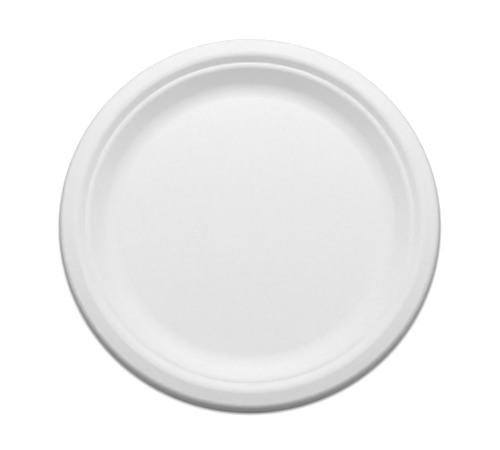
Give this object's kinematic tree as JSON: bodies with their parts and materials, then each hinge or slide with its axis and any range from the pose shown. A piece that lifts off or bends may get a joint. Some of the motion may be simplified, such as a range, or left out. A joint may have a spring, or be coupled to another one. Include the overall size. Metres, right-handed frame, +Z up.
{
  "type": "paper plate",
  "caption": "Round disposable plate pressed from white plant fibre, with a flat floor, steep wall, narrow stacking ledge and a rim that falls to a turned-down lip.",
  "frame": {"origin": "centre of the floor's underside, on the surface that the plate rests on", "axes": "+Z up along the plate's axis of revolution, out of the open side; the plate is round, so X and Y are alike"},
  "size_m": [0.2286, 0.2286, 0.0178],
  "materials": {
    "moulded_fibre": "matte"
  },
  "bodies": {
    "root": {"plate": "moulded_fibre"}
  },
  "joints": []
}
